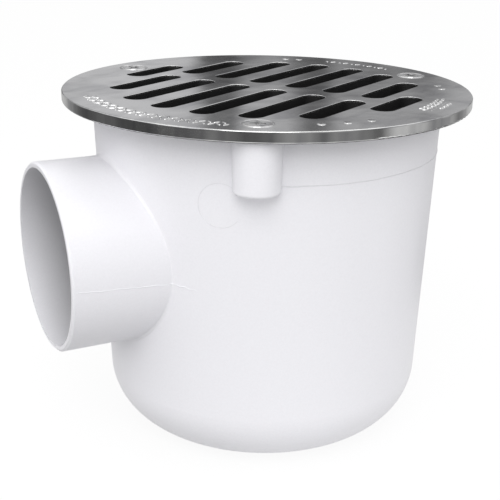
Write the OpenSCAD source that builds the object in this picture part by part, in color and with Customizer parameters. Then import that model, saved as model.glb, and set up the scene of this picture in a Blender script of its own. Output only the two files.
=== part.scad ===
// Gully trap: a one-piece moulded pot with a side outlet spigot, a cast slotted grate
// screwed to three bosses on the pot's wall, and a removable hood inside that holds the
// water seal. The origin is the centre of the pot's flat base. +Z is up and the outlet
// points along -X. All sizes are in millimetres and degrees.

/* [Pot] */
// Height from the base to the rim that carries the grate
pot_height = 205.5; // [195:0.5:260]
// Outside radius of the pot at its rim
rim_radius = 105; // [103:0.5:112]
// Angle at which the wall leans in towards the base
wall_draft = 1.8; // [0.5:0.1:2.5]
// Thickness of the pot's wall and base
pot_wall = 4; // [3:0.1:5]
// Outside radius of the round corner between wall and base
corner_radius = 38; // [30:0.5:44]

/* [Outlet spigot] */
// Outside radius of the spigot, which a drain pipe's socket slides over
spigot_radius = 55; // [50:0.5:56]
// Thickness of the spigot's wall
spigot_wall = 3.2; // [2.5:0.1:4.5]
// Distance from the pot's axis to the spigot's end face
spigot_reach = 142.5; // [135:0.5:170]
// Height of the spigot's axis above the base
spigot_height = 123; // [118:0.5:126]
// Chamfer on the spigot's outer end edge
spigot_chamfer = 1.2; // [0.5:0.1:2]
// Length of the true cylinder behind the chamfer, which a pipe's socket covers
socket_depth = 32; // [20:0.5:33]
// Angle at which the spigot widens from there to its root
spigot_draft = 0.8; // [0.2:0.1:1.5]
// Radius of the fillet between the spigot and the pot's wall
spigot_fillet = 3; // [2:0.5:4]

/* [Screw bosses] */
// Number of bosses, spread evenly from the side opposite the outlet
boss_count = 3; // [3:2:5]
// Radius of the circle that the bosses and screws stand on
boss_circle = 105; // [103:0.5:108]
// Radius of a boss at the rim
boss_radius = 13.5; // [11:0.5:14]
// Length of a boss below the rim
boss_length = 30; // [28:0.5:40]
// Radius that a boss loses from its top to its bottom
boss_taper = 0.8; // [0.2:0.1:1.5]
// Radius of the rounding on a boss's bottom edge
boss_edge = 2; // [0.5:0.1:3]

/* [Threaded inserts] */
// Outside radius of a brass insert
insert_radius = 6.5; // [6:0.1:7]
// Length of a brass insert
insert_length = 14; // [10:0.5:18]
// Width of each groove round an insert
insert_groove_width = 2; // [1:0.1:2.5]
// Depth of each groove round an insert
insert_groove_depth = 0.8; // [0.3:0.1:1]

/* [Grate] */
// Radius of the grate plate
grate_radius = 122.5; // [119:0.5:128]
// Thickness of the grate plate
grate_thickness = 7; // [5.5:0.1:9]
// Chamfer round the plate's top edge
grate_chamfer = 0.6; // [0.2:0.1:1]
// Rounding round the plate's bottom edge
grate_round = 1.5; // [0.5:0.1:2]
// Direction of the web that parts the two rows of slots
web_direction = 120; // [0:5:180]
// Width of the web between the two rows of slots
web_width = 11; // [9:0.5:16]
// Number of slots in each row
slots_per_row = 6; // [2:2:6]
// Distance between the middles of neighbouring slots
slot_pitch = 26.1; // [24:0.1:27]
// Width of a slot
slot_width = 14; // [9:0.1:14.5]
// Chamfer round a slot's top edge
slot_chamfer = 0.4; // [0.2:0.1:1]
// Radius of the circle that the slots' outer ends reach
slot_circle = 92; // [90:0.5:92.5]
// Length of the single slot at each end of the web
end_slot_length = 49; // [30:0.5:50]
// Distance of the single slots from the plate's centre
end_slot_distance = 86.5; // [85:0.5:87]

/* [Locating ring under the grate] */
// Gap between the ring and the pot's wall
locator_gap = 1; // [0.5:0.1:2]
// Height of the ring
locator_height = 5; // [3:0.5:8]
// Thickness of the ring
locator_wall = 3; // [2:0.1:4]
// Gap between the ring's ends and the bosses
locator_boss_gap = 1.5; // [1:0.1:3]

/* [Grate screws] */
// Radius of a screw's countersunk head
screw_head_radius = 8; // [7:0.1:8.5]
// Radius of a screw's shank over its thread
screw_radius = 4; // [3:0.1:4.2]
// Length of a screw with its head
screw_length = 24; // [18:0.5:26]
// Width of the straight edge round a screw's head
screw_head_edge = 0.5; // [0.3:0.1:1]
// Depth of a screw's head below the grate's top
screw_sink = 0.2; // [0.1:0.1:0.5]
// Width of the arms of the cross recess
recess_width = 1.8; // [1.2:0.1:2.2]
// Span of the cross recess
recess_span = 8.4; // [6:0.1:9]
// Depth of the cross recess
recess_depth = 2.6; // [1.5:0.1:3]
// Gap round a screw in the grate
screw_hole_gap = 0.5; // [0.3:0.1:0.8]

/* [Trap hood] */
// Outside radius of the hood's upright wall
hood_radius = 66; // [63:0.5:70]
// Distance of the hood's own axis from the pot's axis
hood_offset = 88; // [84:0.5:92]
// Thickness of the hood's wall and roof
hood_wall = 3; // [2.5:0.1:4]
// Height of the gap between the pot's base and the hood's lip
hood_lip_gap = 22; // [18:0.5:30]
// Rounding between the hood's wall and its roof
hood_corner = 10; // [6:0.5:14]
// Room between the hood's roof and the grate's rim seat
hood_head_room = 19; // [17:0.5:20]
// Width of the lift tab
tab_width = 34; // [28:0.5:40]
// Height of the lift tab
tab_height = 13; // [12:0.5:15]
// Radius of the finger hole in the lift tab
tab_hole_radius = 4; // [3:0.1:4.5]

/* [Hood seal and guides] */
// Thickness of the rubber strip round the hood's edge
seal_wall = 2; // [1.5:0.1:3]
// Width of the strip's sides along the hood
seal_grip = 7; // [5:0.5:9]
// Gap between the strip and the pot's wall, guides and ledges
guide_gap = 0.3; // [0.2:0.1:0.5]
// Thickness of a guide rib
guide_wall = 3; // [2:0.1:4]
// Height of a guide rib out from the pot's wall
guide_depth = 6; // [4:0.5:8]
// Distance from the rim down to the guides' tops
guide_start = 60; // [50:1:80]
// Height of the ledge that the strip's foot stands on
ledge_height = 4; // [3:0.5:6]

/* [Hidden] */

$fn = 128;

pvc_white = "whitesmoke";
cast_metal = "darkgray";
bright_steel = "silver";
brass = "goldenrod";
rubber_black = "dimgray";

// A cut runs this far past the face that it opens
over = 1;
// A rib or boss reaches this share of the wall's thickness into the wall
bite = 0.5;
// Running room between an insert and its pocket, and between a screw's thread and its insert
insert_gap = 0.05;
thread_gap = 0.1;
// A slot's bevel ends this much nearer to its middle than the slot's own round ends
bevel_ease = 0.1;
// Number of cones in the pot's inner corner
corner_steps = 10;
right_angle = 90;
full_turn = 360;

// Corner between wall and base: the middle of its arc, and where the arc meets the wall
corner_x = rim_radius - (pot_height - corner_radius) * tan(wall_draft) - corner_radius / cos(wall_draft);
cavity_rim = rim_radius - pot_wall / cos(wall_draft);

spigot_bore = spigot_radius - spigot_wall;
// Distance from the pot's axis to the place where the spigot begins to widen
spigot_shoulder = spigot_reach - spigot_chamfer - socket_depth;
spigot_root = spigot_radius + spigot_shoulder * tan(spigot_draft);

// The fillet dips into both surfaces by this much, so that its edges cut them at a clear angle
fillet_dip = 0.2;
// It runs past its two touching points by this share of its arc
fillet_run = 0.25;
// Its hidden side lies this deep in both
fillet_bury = 1.6;
// Its number of facets round the spigot and across the arc
fillet_turns = 90;
fillet_steps = 5;
boss_turn = full_turn / boss_count;
boss_bottom = pot_height - boss_length;
pocket_radius = insert_radius + insert_gap;
insert_bore = screw_radius + thread_gap;

grate_top = pot_height + grate_thickness;
screw_top = grate_top - screw_sink;
screw_end = screw_top - screw_length;
screw_cone = screw_head_radius - screw_radius;
screw_hole = screw_radius + screw_hole_gap;
// The drilled hole ends a little below the screw's end
drill_room = 3;
locator_radius = cavity_rim - locator_gap;

hood_lip = pot_wall + hood_lip_gap;
hood_top = pot_height - hood_head_room;
// The hood's edge stops short of the pot's wall by the strip's back and its gap
hood_inset = seal_wall + guide_gap;
guide_top = pot_height - guide_start;

// Half of the pot's section. Its surface is moved in by inset, and it runs past the rim by lift
module pot_section(inset, lift) {
    corner = corner_radius - inset;
    rim = rim_radius - inset / cos(wall_draft) + lift * tan(wall_draft);
    polygon([
        [0, inset],
        [corner_x, inset],
        [corner_x, corner_radius],
        [corner_x + corner * cos(wall_draft), corner_radius - corner * sin(wall_draft)],
        [rim, pot_height + lift],
        [0, pot_height + lift]
    ]);
    translate([corner_x, corner_radius])
        circle(r = corner);
}

// The same section with its corner made of short cones, which the hood's edge can follow
module coned_section(inset, lift) {
    corner = corner_radius - inset;
    rim = rim_radius - inset / cos(wall_draft) + lift * tan(wall_draft);
    polygon(concat(
        [[0, inset]],
        [for (i = [0 : corner_steps])
            let (a = -right_angle + i * (right_angle - wall_draft) / corner_steps)
                [corner_x + corner * cos(a), corner_radius + corner * sin(a)]],
        [[rim, pot_height + lift], [0, pot_height + lift]]
    ));
}

// The outside of the pot as a solid of revolution, a little taller than its rim
module pot_solid() {
    rotate_extrude()
        pot_section(0, over);
}

// The space inside the pot, kept clear of its wall by inset and open at the rim
module pot_cavity(inset = 0) {
    rotate_extrude()
        coned_section(pot_wall + inset, over);
}

// Puts its children at each screw, with their own Z axis upright
module at_screws() {
    for (i = [0 : boss_count - 1])
        rotate(i * boss_turn)
            translate([boss_circle, 0, 0])
                children();
}

// Puts its children on the spigot's axis, with their own Z axis along the outlet
module on_spigot_axis() {
    translate([0, 0, spigot_height])
        rotate([0, -right_angle, 0])
            children();
}

// Outside of the spigot: its widening root, the cylinder for a socket and the chamfered end
module spigot_solid() {
    on_spigot_axis() {
        cylinder(r1 = spigot_root, r2 = spigot_radius, h = spigot_shoulder);
        translate([0, 0, spigot_shoulder])
            cylinder(r = spigot_radius, h = socket_depth);
        translate([0, 0, spigot_reach - spigot_chamfer])
            cylinder(r1 = spigot_radius, r2 = spigot_radius - spigot_chamfer, h = spigot_chamfer);
    }
}

// Outside radius of the pot's wall at a height
function wall_radius(z) = rim_radius - (pot_height - z) * tan(wall_draft);

// Radius of the spigot's outside where it meets the wall
function root_radius(x) = spigot_radius + max(0, spigot_shoulder + x) * tan(spigot_draft);

// Middle of a ball of radius r that touches wall and spigot at an angle round the spigot.
// The spigot's radius there is taken at the wall's own distance from the axis.
function ball_middle(angle, r) =
    let (near_y = spigot_radius * sin(angle),
         near_z = spigot_height + spigot_radius * cos(angle),
         near_x = -sqrt(pow(wall_radius(near_z), 2) - pow(near_y, 2)),
         reach = root_radius(near_x) + r,
         y = reach * sin(angle),
         z = spigot_height + reach * cos(angle),
         out = wall_radius(z) + r / cos(wall_draft))
        [-sqrt(pow(out, 2) - pow(y, 2)), y, z];

// Unit vector from a ball's middle square to the pot's wall
function to_wall(c) =
    let (flat = norm([c.x, c.y]))
        [-c.x / flat * cos(wall_draft), -c.y / flat * cos(wall_draft), sin(wall_draft)];

// Unit vector from a ball's middle square to the spigot's axis
function to_spigot(angle) = [0, -sin(angle), -cos(angle)];

// Section of the fillet at an angle: its hollow arc, then two points buried in wall and spigot
function fillet_section(angle) =
    let (c = ball_middle(angle, spigot_fillet - fillet_dip),
         a = to_spigot(angle),
         b = to_wall(c),
         sweep = acos(a * b),
         far = spigot_fillet + fillet_bury,
         side = fillet_bury + fillet_dip)
        concat(
            [for (i = [0 : fillet_steps])
                let (t = (1 + 2 * fillet_run) * i / fillet_steps - fillet_run)
                    c + spigot_fillet * (sin((1 - t) * sweep) * a + sin(t * sweep) * b) / sin(sweep)],
            [c + far * b + side * a, c + far * a + side * b]
        );

// The fillet between spigot and wall: a ball rolled round the joint
module spigot_root_fillet() {
    ring = fillet_steps + 3;
    points = [for (i = [0 : fillet_turns - 1]) each fillet_section(i * full_turn / fillet_turns)];
    faces = [for (i = [0 : fillet_turns - 1], j = [0 : ring - 1])
        let (i2 = (i + 1) % fillet_turns, j2 = (j + 1) % ring)
            each [[i * ring + j, i2 * ring + j, i2 * ring + j2], [i * ring + j, i2 * ring + j2, i * ring + j2]]];
    polyhedron(points, faces, convexity = 10);
}

// One boss, with its tapered side and rounded bottom edge, a little taller than the rim
module boss_solid() {
    foot = boss_radius - boss_taper;
    head = boss_radius + over * boss_taper / (boss_length - boss_edge);
    translate([0, 0, boss_bottom])
        rotate_extrude() {
            polygon([
                [0, 0],
                [foot - boss_edge, 0],
                [foot - boss_edge, boss_edge],
                [foot, boss_edge],
                [head, boss_length + over],
                [0, boss_length + over]
            ]);
            translate([foot - boss_edge, boss_edge])
                intersection() {
                    circle(r = boss_edge);
                    translate([0, -boss_edge])
                        square(boss_edge);
                }
        }
}

// Pocket for the insert, and the drilled hole below it that the screw's end stands in
module boss_hole() {
    translate([0, 0, pot_height - insert_length])
        cylinder(r = pocket_radius, h = insert_length + over);
    translate([0, 0, screw_end - drill_room])
        cylinder(r = insert_bore, h = pot_height - screw_end);
}

// The hood's outline as an upright drum with a round shoulder, grown sideways and up by grow
module hood_drum(grow, bottom) {
    radius = hood_radius + grow;
    top = hood_top + grow;
    shoulder = hood_corner + grow;
    translate([-hood_offset, 0, 0])
        rotate_extrude() {
            translate([0, bottom])
                square([radius, top - shoulder - bottom]);
            translate([0, bottom])
                square([radius - shoulder, top - bottom]);
            translate([radius - shoulder, top - shoulder])
                intersection() {
                    circle(r = shoulder);
                    square(shoulder);
                }
        }
}

// The hood's wall and roof without an edge, thickened by grow on both faces
module hood_skin(grow, bottom) {
    difference() {
        hood_drum(grow, bottom);
        hood_drum(-hood_wall - grow, bottom - over);
    }
}

// The guides on the pot's wall: a channel each side that the strip slides down, with a ledge
module hood_guides() {
    difference() {
        intersection() {
            hood_skin(seal_wall + guide_gap + guide_wall, hood_lip - ledge_height);
            pot_cavity(-pot_wall * bite);
            translate([-hood_offset - hood_radius, -rim_radius, hood_lip - ledge_height])
                cube([hood_offset + hood_radius, 2 * rim_radius, guide_top - hood_lip + ledge_height]);
        }
        pot_cavity(guide_depth);
        hood_skin(seal_wall + guide_gap, hood_lip - guide_gap);
    }
}

// Tab on the hood's roof with a finger hole, for lifting the hood out
module lift_tab() {
    half = tab_width / 2;
    round_r = tab_height - hood_wall;
    translate([-hood_offset + hood_radius - hood_corner - hood_wall, 0, hood_top - hood_wall * bite])
        rotate([right_angle, 0, right_angle])
            linear_extrude(hood_wall)
                difference() {
                    union() {
                        translate([-half, 0])
                            square([tab_width, hood_wall]);
                        translate([0, hood_wall])
                            intersection() {
                                scale(round_r / half)
                                    circle(r = half);
                                translate([-half, 0])
                                    square([tab_width, tab_height]);
                            }
                    }
                    translate([0, hood_wall + (round_r - tab_hole_radius) / 2 + over])
                        circle(r = tab_hole_radius);
                }
}

// A slot through the grate along its own X axis, with a chamfered top edge
module grate_slot(length) {
    half = slot_width / 2;
    straight = length / 2 - half;
    bevel = straight - bevel_ease;
    depth = grate_thickness + locator_height + 2 * over;
    translate([0, 0, grate_top - depth])
        linear_extrude(depth + over) {
            square([2 * straight, slot_width], center = true);
            for (side = [-1, 1])
                translate([side * straight, 0])
                    circle(r = half);
        }
    for (side = [-1, 1])
        translate([side * bevel, 0, grate_top - slot_chamfer - over])
            cylinder(r1 = half - over, r2 = half + slot_chamfer + over, h = slot_chamfer + 2 * over);
    translate([-bevel, 0, grate_top - slot_chamfer])
        rotate([right_angle, 0, right_angle])
            linear_extrude(2 * bevel)
                polygon([
                    [over - half, -over],
                    [half - over, -over],
                    [half + slot_chamfer + over, slot_chamfer + over],
                    [-half - slot_chamfer - over, slot_chamfer + over]
                ]);
}

// All slots: two rows across the web, and one slot by itself at each end of the web
module grate_slots() {
    inner = web_width / 2;
    rotate(web_direction - right_angle) {
        for (i = [0 : slots_per_row - 1], side = [-1, 1]) {
            off = (i - (slots_per_row - 1) / 2) * slot_pitch;
            outer = sqrt(pow(slot_circle, 2) - pow(off, 2));
            translate([side * (inner + outer) / 2, off, 0])
                grate_slot(outer - inner);
        }
        for (side = [-1, 1])
            translate([0, side * end_slot_distance, 0])
                grate_slot(end_slot_length);
    }
}

// Half of the grate's section: chamfered on top, rounded below, with the locating ring
module grate_section() {
    translate([0, pot_height])
        polygon([
            [0, 0],
            [grate_radius - grate_round, 0],
            [grate_radius - grate_round, grate_round],
            [grate_radius, grate_round],
            [grate_radius, grate_thickness - grate_chamfer],
            [grate_radius - grate_chamfer, grate_thickness],
            [0, grate_thickness]
        ]);
    translate([grate_radius - grate_round, pot_height + grate_round])
        intersection() {
            circle(r = grate_round);
            translate([0, -grate_round])
                square(grate_round);
        }
}

module pot_body() {
    color(pvc_white)
        difference() {
            union() {
                difference() {
                    union() {
                        pot_solid();
                        spigot_solid();
                        spigot_root_fillet();
                    }
                    pot_cavity();
                }
                at_screws()
                    boss_solid();
                hood_guides();
            }
            on_spigot_axis()
                cylinder(r = spigot_bore, h = spigot_reach + over);
            at_screws()
                boss_hole();
            translate([0, 0, pot_height])
                cylinder(r = rim_radius + boss_circle, h = 2 * over);
        }
}

module boss_inserts() {
    color(brass)
        at_screws()
            translate([0, 0, pot_height - insert_length])
                difference() {
                    cylinder(r = insert_radius, h = insert_length);
                    translate([0, 0, -over])
                        cylinder(r = insert_bore, h = insert_length + 2 * over);
                    for (third = [1, 2])
                        translate([0, 0, third * insert_length / 3 - insert_groove_width / 2])
                            difference() {
                                cylinder(r = insert_radius + over, h = insert_groove_width);
                                cylinder(r = insert_radius - insert_groove_depth, h = insert_groove_width);
                            }
                }
}

module trap_hood() {
    color(pvc_white)
        union() {
            intersection() {
                hood_skin(0, hood_lip);
                pot_cavity(hood_inset);
            }
            lift_tab();
        }
}

module hood_seal() {
    color(rubber_black)
        difference() {
            intersection() {
                hood_skin(seal_wall, hood_lip);
                pot_cavity(guide_gap);
            }
            pot_cavity(hood_inset + seal_grip);
            intersection() {
                hood_skin(0, hood_lip - over);
                pot_cavity(hood_inset);
            }
        }
}

module grate_plate() {
    color(cast_metal)
        difference() {
            union() {
                rotate_extrude()
                    grate_section();
                difference() {
                    translate([0, 0, pot_height - locator_height])
                        cylinder(r = locator_radius, h = locator_height + over);
                    translate([0, 0, pot_height - locator_height - over])
                        cylinder(r = locator_radius - locator_wall, h = locator_height + over);
                    at_screws()
                        translate([0, 0, pot_height - locator_height - over])
                            cylinder(r = boss_radius + locator_boss_gap, h = locator_height + over);
                }
            }
            grate_slots();
            at_screws() {
                translate([0, 0, pot_height - over])
                    cylinder(r = screw_hole, h = grate_thickness + 2 * over);
                translate([0, 0, screw_top - screw_head_edge - screw_cone])
                    cylinder(r1 = screw_radius, r2 = screw_head_radius, h = screw_cone);
                translate([0, 0, screw_top - screw_head_edge])
                    cylinder(r = screw_head_radius, h = screw_head_edge + screw_sink + over);
            }
        }
}

module grate_screws() {
    color(bright_steel)
        at_screws()
            difference() {
                union() {
                    translate([0, 0, screw_end])
                        cylinder(r = screw_radius, h = screw_length - screw_head_edge);
                    translate([0, 0, screw_top - screw_head_edge - screw_cone])
                        cylinder(r1 = screw_radius, r2 = screw_head_radius, h = screw_cone);
                    translate([0, 0, screw_top - screw_head_edge])
                        cylinder(r = screw_head_radius, h = screw_head_edge);
                }
                translate([0, 0, screw_top - recess_depth])
                    linear_extrude(recess_depth + over)
                        for (turn = [0, right_angle])
                            rotate(turn)
                                square([recess_span, recess_width], center = true);
            }
}

pot_body();
boss_inserts();
trap_hood();
hood_seal();
grate_plate();
grate_screws();
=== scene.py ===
"""Gully trap: looks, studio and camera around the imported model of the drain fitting.

The file is laid out from the bottom up: units and names, mesh helpers, shader helpers, finishes,
one class for each sub-assembly, then the studio, the camera and main().
Lengths in the classes are in millimetres and angles in degrees, unless a name says otherwise.
Meshes and node sockets take metres and radians, so the last step of each piece multiplies by MM.
"""

from __future__ import annotations

import functools
import logging
import math
from dataclasses import dataclass, field
from enum import Enum
from typing import Mapping, Sequence

import bmesh
import bpy
import numpy as np
from mathutils import Matrix, Vector

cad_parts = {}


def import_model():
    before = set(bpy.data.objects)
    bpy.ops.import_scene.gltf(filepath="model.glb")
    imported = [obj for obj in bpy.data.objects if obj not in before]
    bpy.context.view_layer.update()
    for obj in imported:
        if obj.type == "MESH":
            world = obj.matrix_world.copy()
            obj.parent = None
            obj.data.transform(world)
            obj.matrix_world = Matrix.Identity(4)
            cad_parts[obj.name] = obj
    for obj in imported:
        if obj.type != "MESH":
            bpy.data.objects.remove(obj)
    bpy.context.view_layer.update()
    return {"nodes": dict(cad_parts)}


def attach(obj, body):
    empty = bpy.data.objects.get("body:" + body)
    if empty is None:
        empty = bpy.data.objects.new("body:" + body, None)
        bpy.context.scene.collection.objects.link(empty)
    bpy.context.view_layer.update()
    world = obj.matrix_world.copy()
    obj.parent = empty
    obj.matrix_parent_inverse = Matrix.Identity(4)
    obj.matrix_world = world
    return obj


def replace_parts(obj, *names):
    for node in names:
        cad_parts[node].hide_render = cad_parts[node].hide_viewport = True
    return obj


LOG = logging.getLogger("gully_trap")
MM = 0.001
ROOT = "root"
PAINTED_SHADE_ATTRIBUTE = "painted_shade"
KEPT = "exact_normal"
WELD = 1e-6  # metres
COLOUR_A, COLOUR_B, COLOUR_OUT = 6, 7, 2  # numbers of a Mix node's colour sockets

Colour = tuple[float, float, float]
Socket = bpy.types.NodeSocket


class Node(Enum):
    """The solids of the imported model."""

    POT = "pot_body"
    INSERTS = "boss_inserts"
    HOOD = "trap_hood"
    SEAL = "hood_seal"
    GRATE = "grate_plate"
    SCREWS = "grate_screws"


class Slot(Enum):
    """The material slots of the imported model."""

    PVC = "white_pvc"
    GRATE = "grate_metal"


# Mesh helpers


def unit(vectors: np.ndarray) -> np.ndarray:
    """Vectors, with x, y and z along the last axis, scaled to length one."""
    return vectors / np.maximum(np.linalg.norm(vectors, axis=-1, keepdims=True), 1e-12)


def polar(radius: np.ndarray | float, degrees: np.ndarray | float, z: np.ndarray | float) -> np.ndarray:
    """Points at radius, angle and height: x = r cos a, y = r sin a.

    Args:
        radius: Distance from the Z axis.
        degrees: Angle from +X towards +Y.
        z: Height.

    Returns:
        Array whose last axis holds x, y and z.
    """
    turn = np.radians(degrees)
    return np.stack(np.broadcast_arrays(radius * np.cos(turn), radius * np.sin(turn), z), axis=-1)


def ring_faces(rings: int, sides: int) -> list[tuple[int, ...]]:
    """Faces of a closed skin over rings of points: quads between rings, and a cap on each end.

    Point j of ring i has the number i * sides + j. The faces point outwards where the rings run anticlockwise
    about the direction of travel, and inwards where they run clockwise.

    Args:
        rings: Number of rings.
        sides: Number of points in each ring.

    Returns:
        The faces as tuples of point numbers.
    """
    i, j = np.meshgrid(np.arange(rings - 1), np.arange(sides), indexing="ij")
    a, b = i * sides + j, i * sides + (j + 1) % sides
    quads = np.stack([a, b, b + sides, a + sides], axis=-1).reshape(-1, 4)
    first = tuple(range(sides - 1, -1, -1))
    last = tuple(range((rings - 1) * sides, rings * sides))
    return [tuple(q) for q in quads.tolist()] + [first, last]


def waves(place: np.ndarray, parts: Sequence[tuple[float, float]]) -> np.ndarray:
    """Sum of sines: rise sin(rate place) for each pair of rise and rate."""
    return sum(rise * np.sin(place * rate) for rise, rate in parts)


def grey(level: float) -> Colour:
    """A grey of one level."""
    return (level,) * 3


def placed(name: str, data: bpy.types.ID) -> bpy.types.Object:
    """Adds an object to the scene.

    Args:
        name: Name of the object.
        data: Its mesh, lamp or camera.

    Returns:
        The object.
    """
    made = bpy.data.objects.new(name, data)
    bpy.context.scene.collection.objects.link(made)
    return made


def read_all(items: bpy.types.bpy_prop_collection, name: str, width: int,
             kind: type = np.float32) -> np.ndarray:
    """Reads one property of every vertex, corner or attribute value of a mesh.

    Args:
        items: The vertices, corners or values.
        name: The property.
        width: How many numbers it has.
        kind: Their type.

    Returns:
        One row for each item.
    """
    values = np.empty(len(items) * width, dtype=kind)
    items.foreach_get(name, values)
    return values.reshape(-1, width)


def riding(name: str, mesh: bpy.types.Mesh, finish: bpy.types.Material) -> bpy.types.Object:
    """Makes an object of a mesh, riding on the part's one body.

    Args:
        name: Name of the piece.
        mesh: Its mesh.
        finish: Its material.

    Returns:
        The object.
    """
    mesh.materials.clear()
    mesh.materials.append(finish)
    piece = placed(name, mesh)
    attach(piece, ROOT)
    return piece


def new_piece(name: str, points: np.ndarray, faces: Sequence[Sequence[int]],
              finish: bpy.types.Material) -> None:
    """Makes a smooth mesh object with its place in its mesh, riding on the part's one body.

    Args:
        name: Name of the piece.
        points: Points in millimetres, of any shape whose last axis holds x, y and z.
        faces: Faces as point numbers.
        finish: Its material.
    """
    mesh = bpy.data.meshes.new(name)
    mesh.from_pydata((points.reshape(-1, 3) * MM).tolist(), [], faces)
    mesh.shade_smooth()
    riding(name, mesh, finish)
    LOG.info("%s: %d faces", name, len(mesh.polygons))


def bead(path: np.ndarray, outwards: np.ndarray, radius: float, sides: int = 10,
         taper: int = 4) -> tuple[np.ndarray, list[tuple[int, ...]]]:
    """A thin round bead carried along a path, narrowing at both ends.

    Ring i is p + r(s) (cos a n - sin a b), where n points out of the surface, b = t x n lies in it,
    t is the path's direction, and r(s) = radius sqrt(s) over the first and last few rings. The rings run
    clockwise about the path, so the faces point into the bead.

    Args:
        path: Points of the path, one row each.
        outwards: Unit vectors out of the surface that the bead lies on.
        radius: Radius of the bead.
        sides: Number of points round it.
        taper: Number of rings over which an end narrows.

    Returns:
        The points, as rings by sides by 3, and the faces.
    """
    along = unit(np.gradient(path, axis=0))
    across = unit(np.cross(along, outwards))
    steps = np.arange(len(path))
    share = np.clip((np.minimum(steps, steps[::-1]) + 0.3) / taper, 0.0, 1.0)
    size = radius * np.sqrt(share)[:, None, None]
    a = np.linspace(0.0, 2.0 * np.pi, sides, endpoint=False)[None, :, None]
    rings = path[:, None, :] + size * (np.cos(a) * outwards[:, None, :] - np.sin(a) * across[:, None, :])
    return rings, ring_faces(len(path), sides)


def merged_copy(node: bpy.types.Object, name: str) -> tuple[bpy.types.Mesh, np.ndarray, np.ndarray]:
    """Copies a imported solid's mesh and merges its loose triangles into one closed skin.

    Args:
        node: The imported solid.
        name: Name of the copy.

    Returns:
        The mesh, its corners' positions in millimetres, and its corners' exact normals.
    """
    mesh = node.data.copy()
    mesh.name = name
    keep = mesh.attributes.new(KEPT, "FLOAT_VECTOR", "CORNER")
    keep.data.foreach_set("vector", read_all(mesh.corner_normals, "vector", 3).ravel())
    skin = bmesh.new()
    skin.from_mesh(mesh)
    bmesh.ops.remove_doubles(skin, verts=skin.verts, dist=WELD)
    skin.to_mesh(mesh)
    skin.free()
    if "custom_normal" in mesh.attributes:
        mesh.attributes.remove(mesh.attributes["custom_normal"])
    exact = read_all(mesh.attributes[KEPT].data, "vector", 3)
    mesh.attributes.remove(mesh.attributes[KEPT])
    corner = read_all(mesh.loops, "vertex_index", 1, np.int32).ravel()
    return mesh, read_all(mesh.vertices, "co", 3)[corner] / MM, exact.astype(float)


def corner_values(mesh: bpy.types.Mesh, name: str, values: np.ndarray) -> None:
    """Keeps one number for each corner of a mesh under a name, for its material to read."""
    kept = mesh.attributes.new(name, "FLOAT", "CORNER")
    kept.data.foreach_set("value", values.astype(np.float32))


def reshaded(mesh: bpy.types.Mesh, normals: np.ndarray, name: str, node: Node,
             finish: bpy.types.Material) -> None:
    """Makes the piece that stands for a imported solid, with the given normals at its corners.

    Args:
        mesh: A merged copy of the solid's mesh.
        normals: One unit vector for each corner.
        name: Name of the piece.
        node: The solid that it stands for.
        finish: Its material.
    """
    mesh.shade_smooth()
    mesh.normals_split_custom_set(unit(normals).tolist())
    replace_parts(riding(name, mesh, finish), node.value)
    LOG.info("%s: %d faces, in place of %s", name, len(mesh.polygons), node.value)


def dress(node: bpy.types.Object, finish: bpy.types.Material) -> None:
    """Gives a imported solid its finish.

    Args:
        node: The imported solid.
        finish: Its material.
    """
    node.data.materials.clear()
    node.data.materials.append(finish)
    LOG.info("%s: packed solid in %s", node.name, finish.name)


# Shader helpers


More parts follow.
